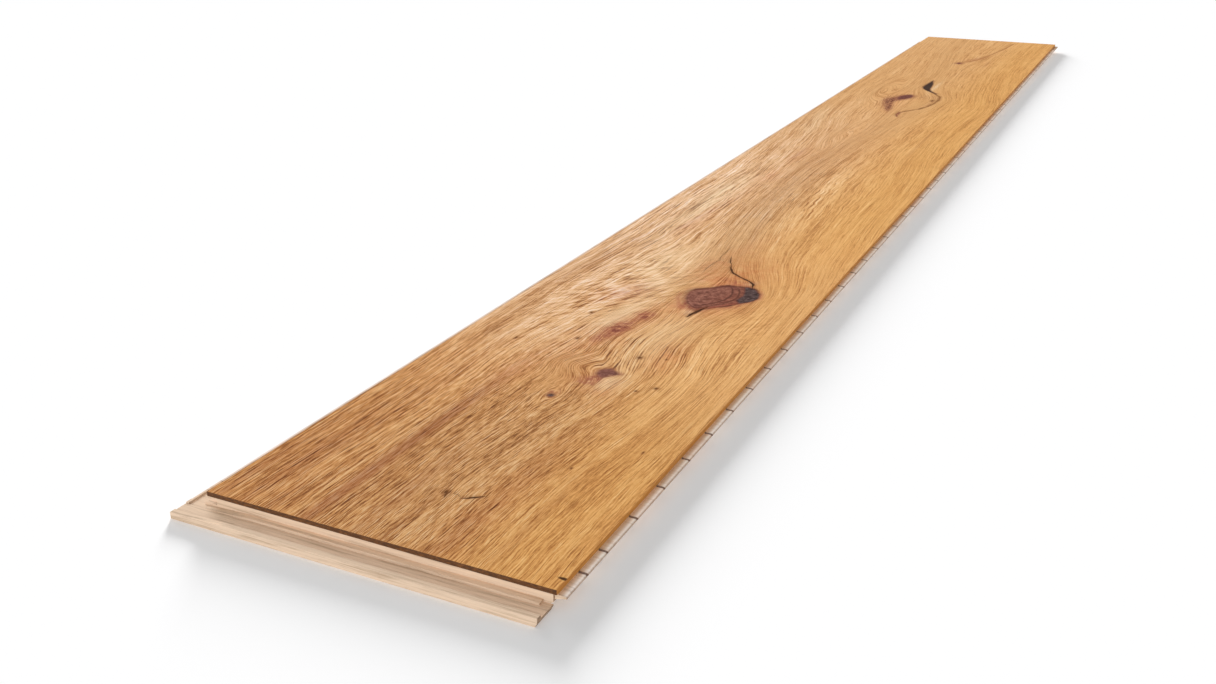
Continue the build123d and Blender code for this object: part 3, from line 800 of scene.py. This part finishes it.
# painted light and shade for the front strip: front faces, flats, gaps, right end wall and nose
strip = {"front_face_shade": (0.87, 0.90, 0.94), "painted_flat_light": ((3.0, 5.0, (1.03, 1.00, 0.99)), (5.4, 6.1, (1.17, 1.14, 1.13)),
                                                  (6.25, 6.6, (0.86, 0.86, 0.86))),
         "gap_shade_at": (y0 + 28.0,), "nose": nose_x, "inner": side_x, "wall_shade_x": side_x - 2.4, "tongue": tuple(a / b for a, b in zip(slat_wood, pale_wood))}
for node, along, base, seed, more in (
        ("front_end_strip", 0, pale_wood, 2.0, dict(strip)),
        ("far_end_strip", 0, pale_wood, 31.0, {"nose": nose_x, "inner": side_x}),
        ("narrow_core_slat", 0, slat_wood, 47.0, {"nose": nose_x, "inner": side_x, "gap_shade_at": (y0 + 28.0, y0 + 55.0), "dark": 0.06}),
        ("core_slats", 0, slat_wood, 5.0, {"slats": (y0 + 55.0, 43.72), "nose": nose_x, "inner": side_x, "dark": 0.06}),
        ("groove_edge_strip", 1, rgb(224, 204, 188), 9.0, {}),
        ("backing_veneer", 1, rgb(208, 184, 154), 77.0, {})):
    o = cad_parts[node]
    mat = light_wood(node + "_wood", along, base, seed, box=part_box(node), **more)
    if not o.material_slots:
        o.data.materials.append(mat)
    for sl in o.material_slots:
        sl.material = mat

# ---------------------------------------------------------------- floor, light, camera
floor_mesh = bpy.data.meshes.new("floor")
fz = 0.00003            # a hair above the underside, so that floor and board don't share a plane
floor_mesh.from_pydata([(-9, -9, fz), (9, -9, fz), (9, 9, fz), (-9, 9, fz)], [], [(0, 1, 2, 3)])
floor = bpy.data.objects.new("floor", floor_mesh)
bpy.context.scene.collection.objects.link(floor)
fg = Graph("floor_paint")
floor_mesh.materials.append(fg.finish((0.985, 0.985, 0.988), 0.9, spec=0.0))

world = bpy.data.worlds.new("studio")
bpy.context.scene.world = world
world.use_nodes = True
bg = world.node_tree.nodes["Background"]
bg.inputs["Color"].default_value = (1.0, 1.0, 1.0, 1.0)
bg.inputs["Strength"].default_value = 0.30


def sun(name, towards, strength, angle):
    """A soft light from the direction `towards`; the angle is how wide it looks, in degrees."""
    d = bpy.data.lights.new(name, "SUN")
    d.energy = strength
    d.angle = math.radians(angle)
    o = bpy.data.objects.new(name, d)
    o.location = Vector(towards).normalized() * 6
    o.rotation_euler = Vector(towards).to_track_quat("Z", "Y").to_euler()
    bpy.context.scene.collection.objects.link(o)
    return o


def only(light, state):
    """Whether a light falls only on the floor (INCLUDE) or on everything but the floor (EXCLUDE)."""
    c = bpy.data.collections.new(light.name + "_receivers")
    c.objects.link(floor)
    c.collection_objects[0].light_linking.link_state = state
    light.light_linking.receiver_collection = c


only(sun("key", (-0.66, 0.56, 0.50), 2.95, 36.0), "EXCLUDE")
only(sun("fill", (0.10, -1.0, 0.27), 3.0, 50.0), "EXCLUDE")
# the floor's own lights: one overhead, two low ones behind for the wide soft shadow in front and to the right
lift = sun("lift", (0.0, 0.0, 1.0), 0.87, 40.0)
only(lift, "INCLUDE")
lift.light_linking.blocker_collection = lift.light_linking.receiver_collection
only(sun("low_back", (-0.525, 0.83, 0.185), 6.35, 13.0), "INCLUDE")
only(sun("low_side", (-0.80, 0.42, 0.30), 0.65, 24.0), "INCLUDE")

cam_data = bpy.data.cameras.new("camera")
cam_data.sensor_width = 36.0
cam_data.lens = 35.6808
cam_data.clip_start = 0.01
cam_data.clip_end = 60.0
cam = bpy.data.objects.new("camera", cam_data)
cam.matrix_world = Matrix(((0.8990547, -0.1660897, 0.4051108, 0.419089),
                           (0.4378267, 0.3471593, -0.8293300, -1.601602),
                           (-0.0028949, 0.9229814, 0.3848337, 0.411859),
                           (0, 0, 0, 1)))
bpy.context.scene.collection.objects.link(cam)
bpy.context.scene.camera = cam
bpy.context.scene.view_settings.view_transform = "Standard"
bpy.context.scene.view_settings.look = "None"
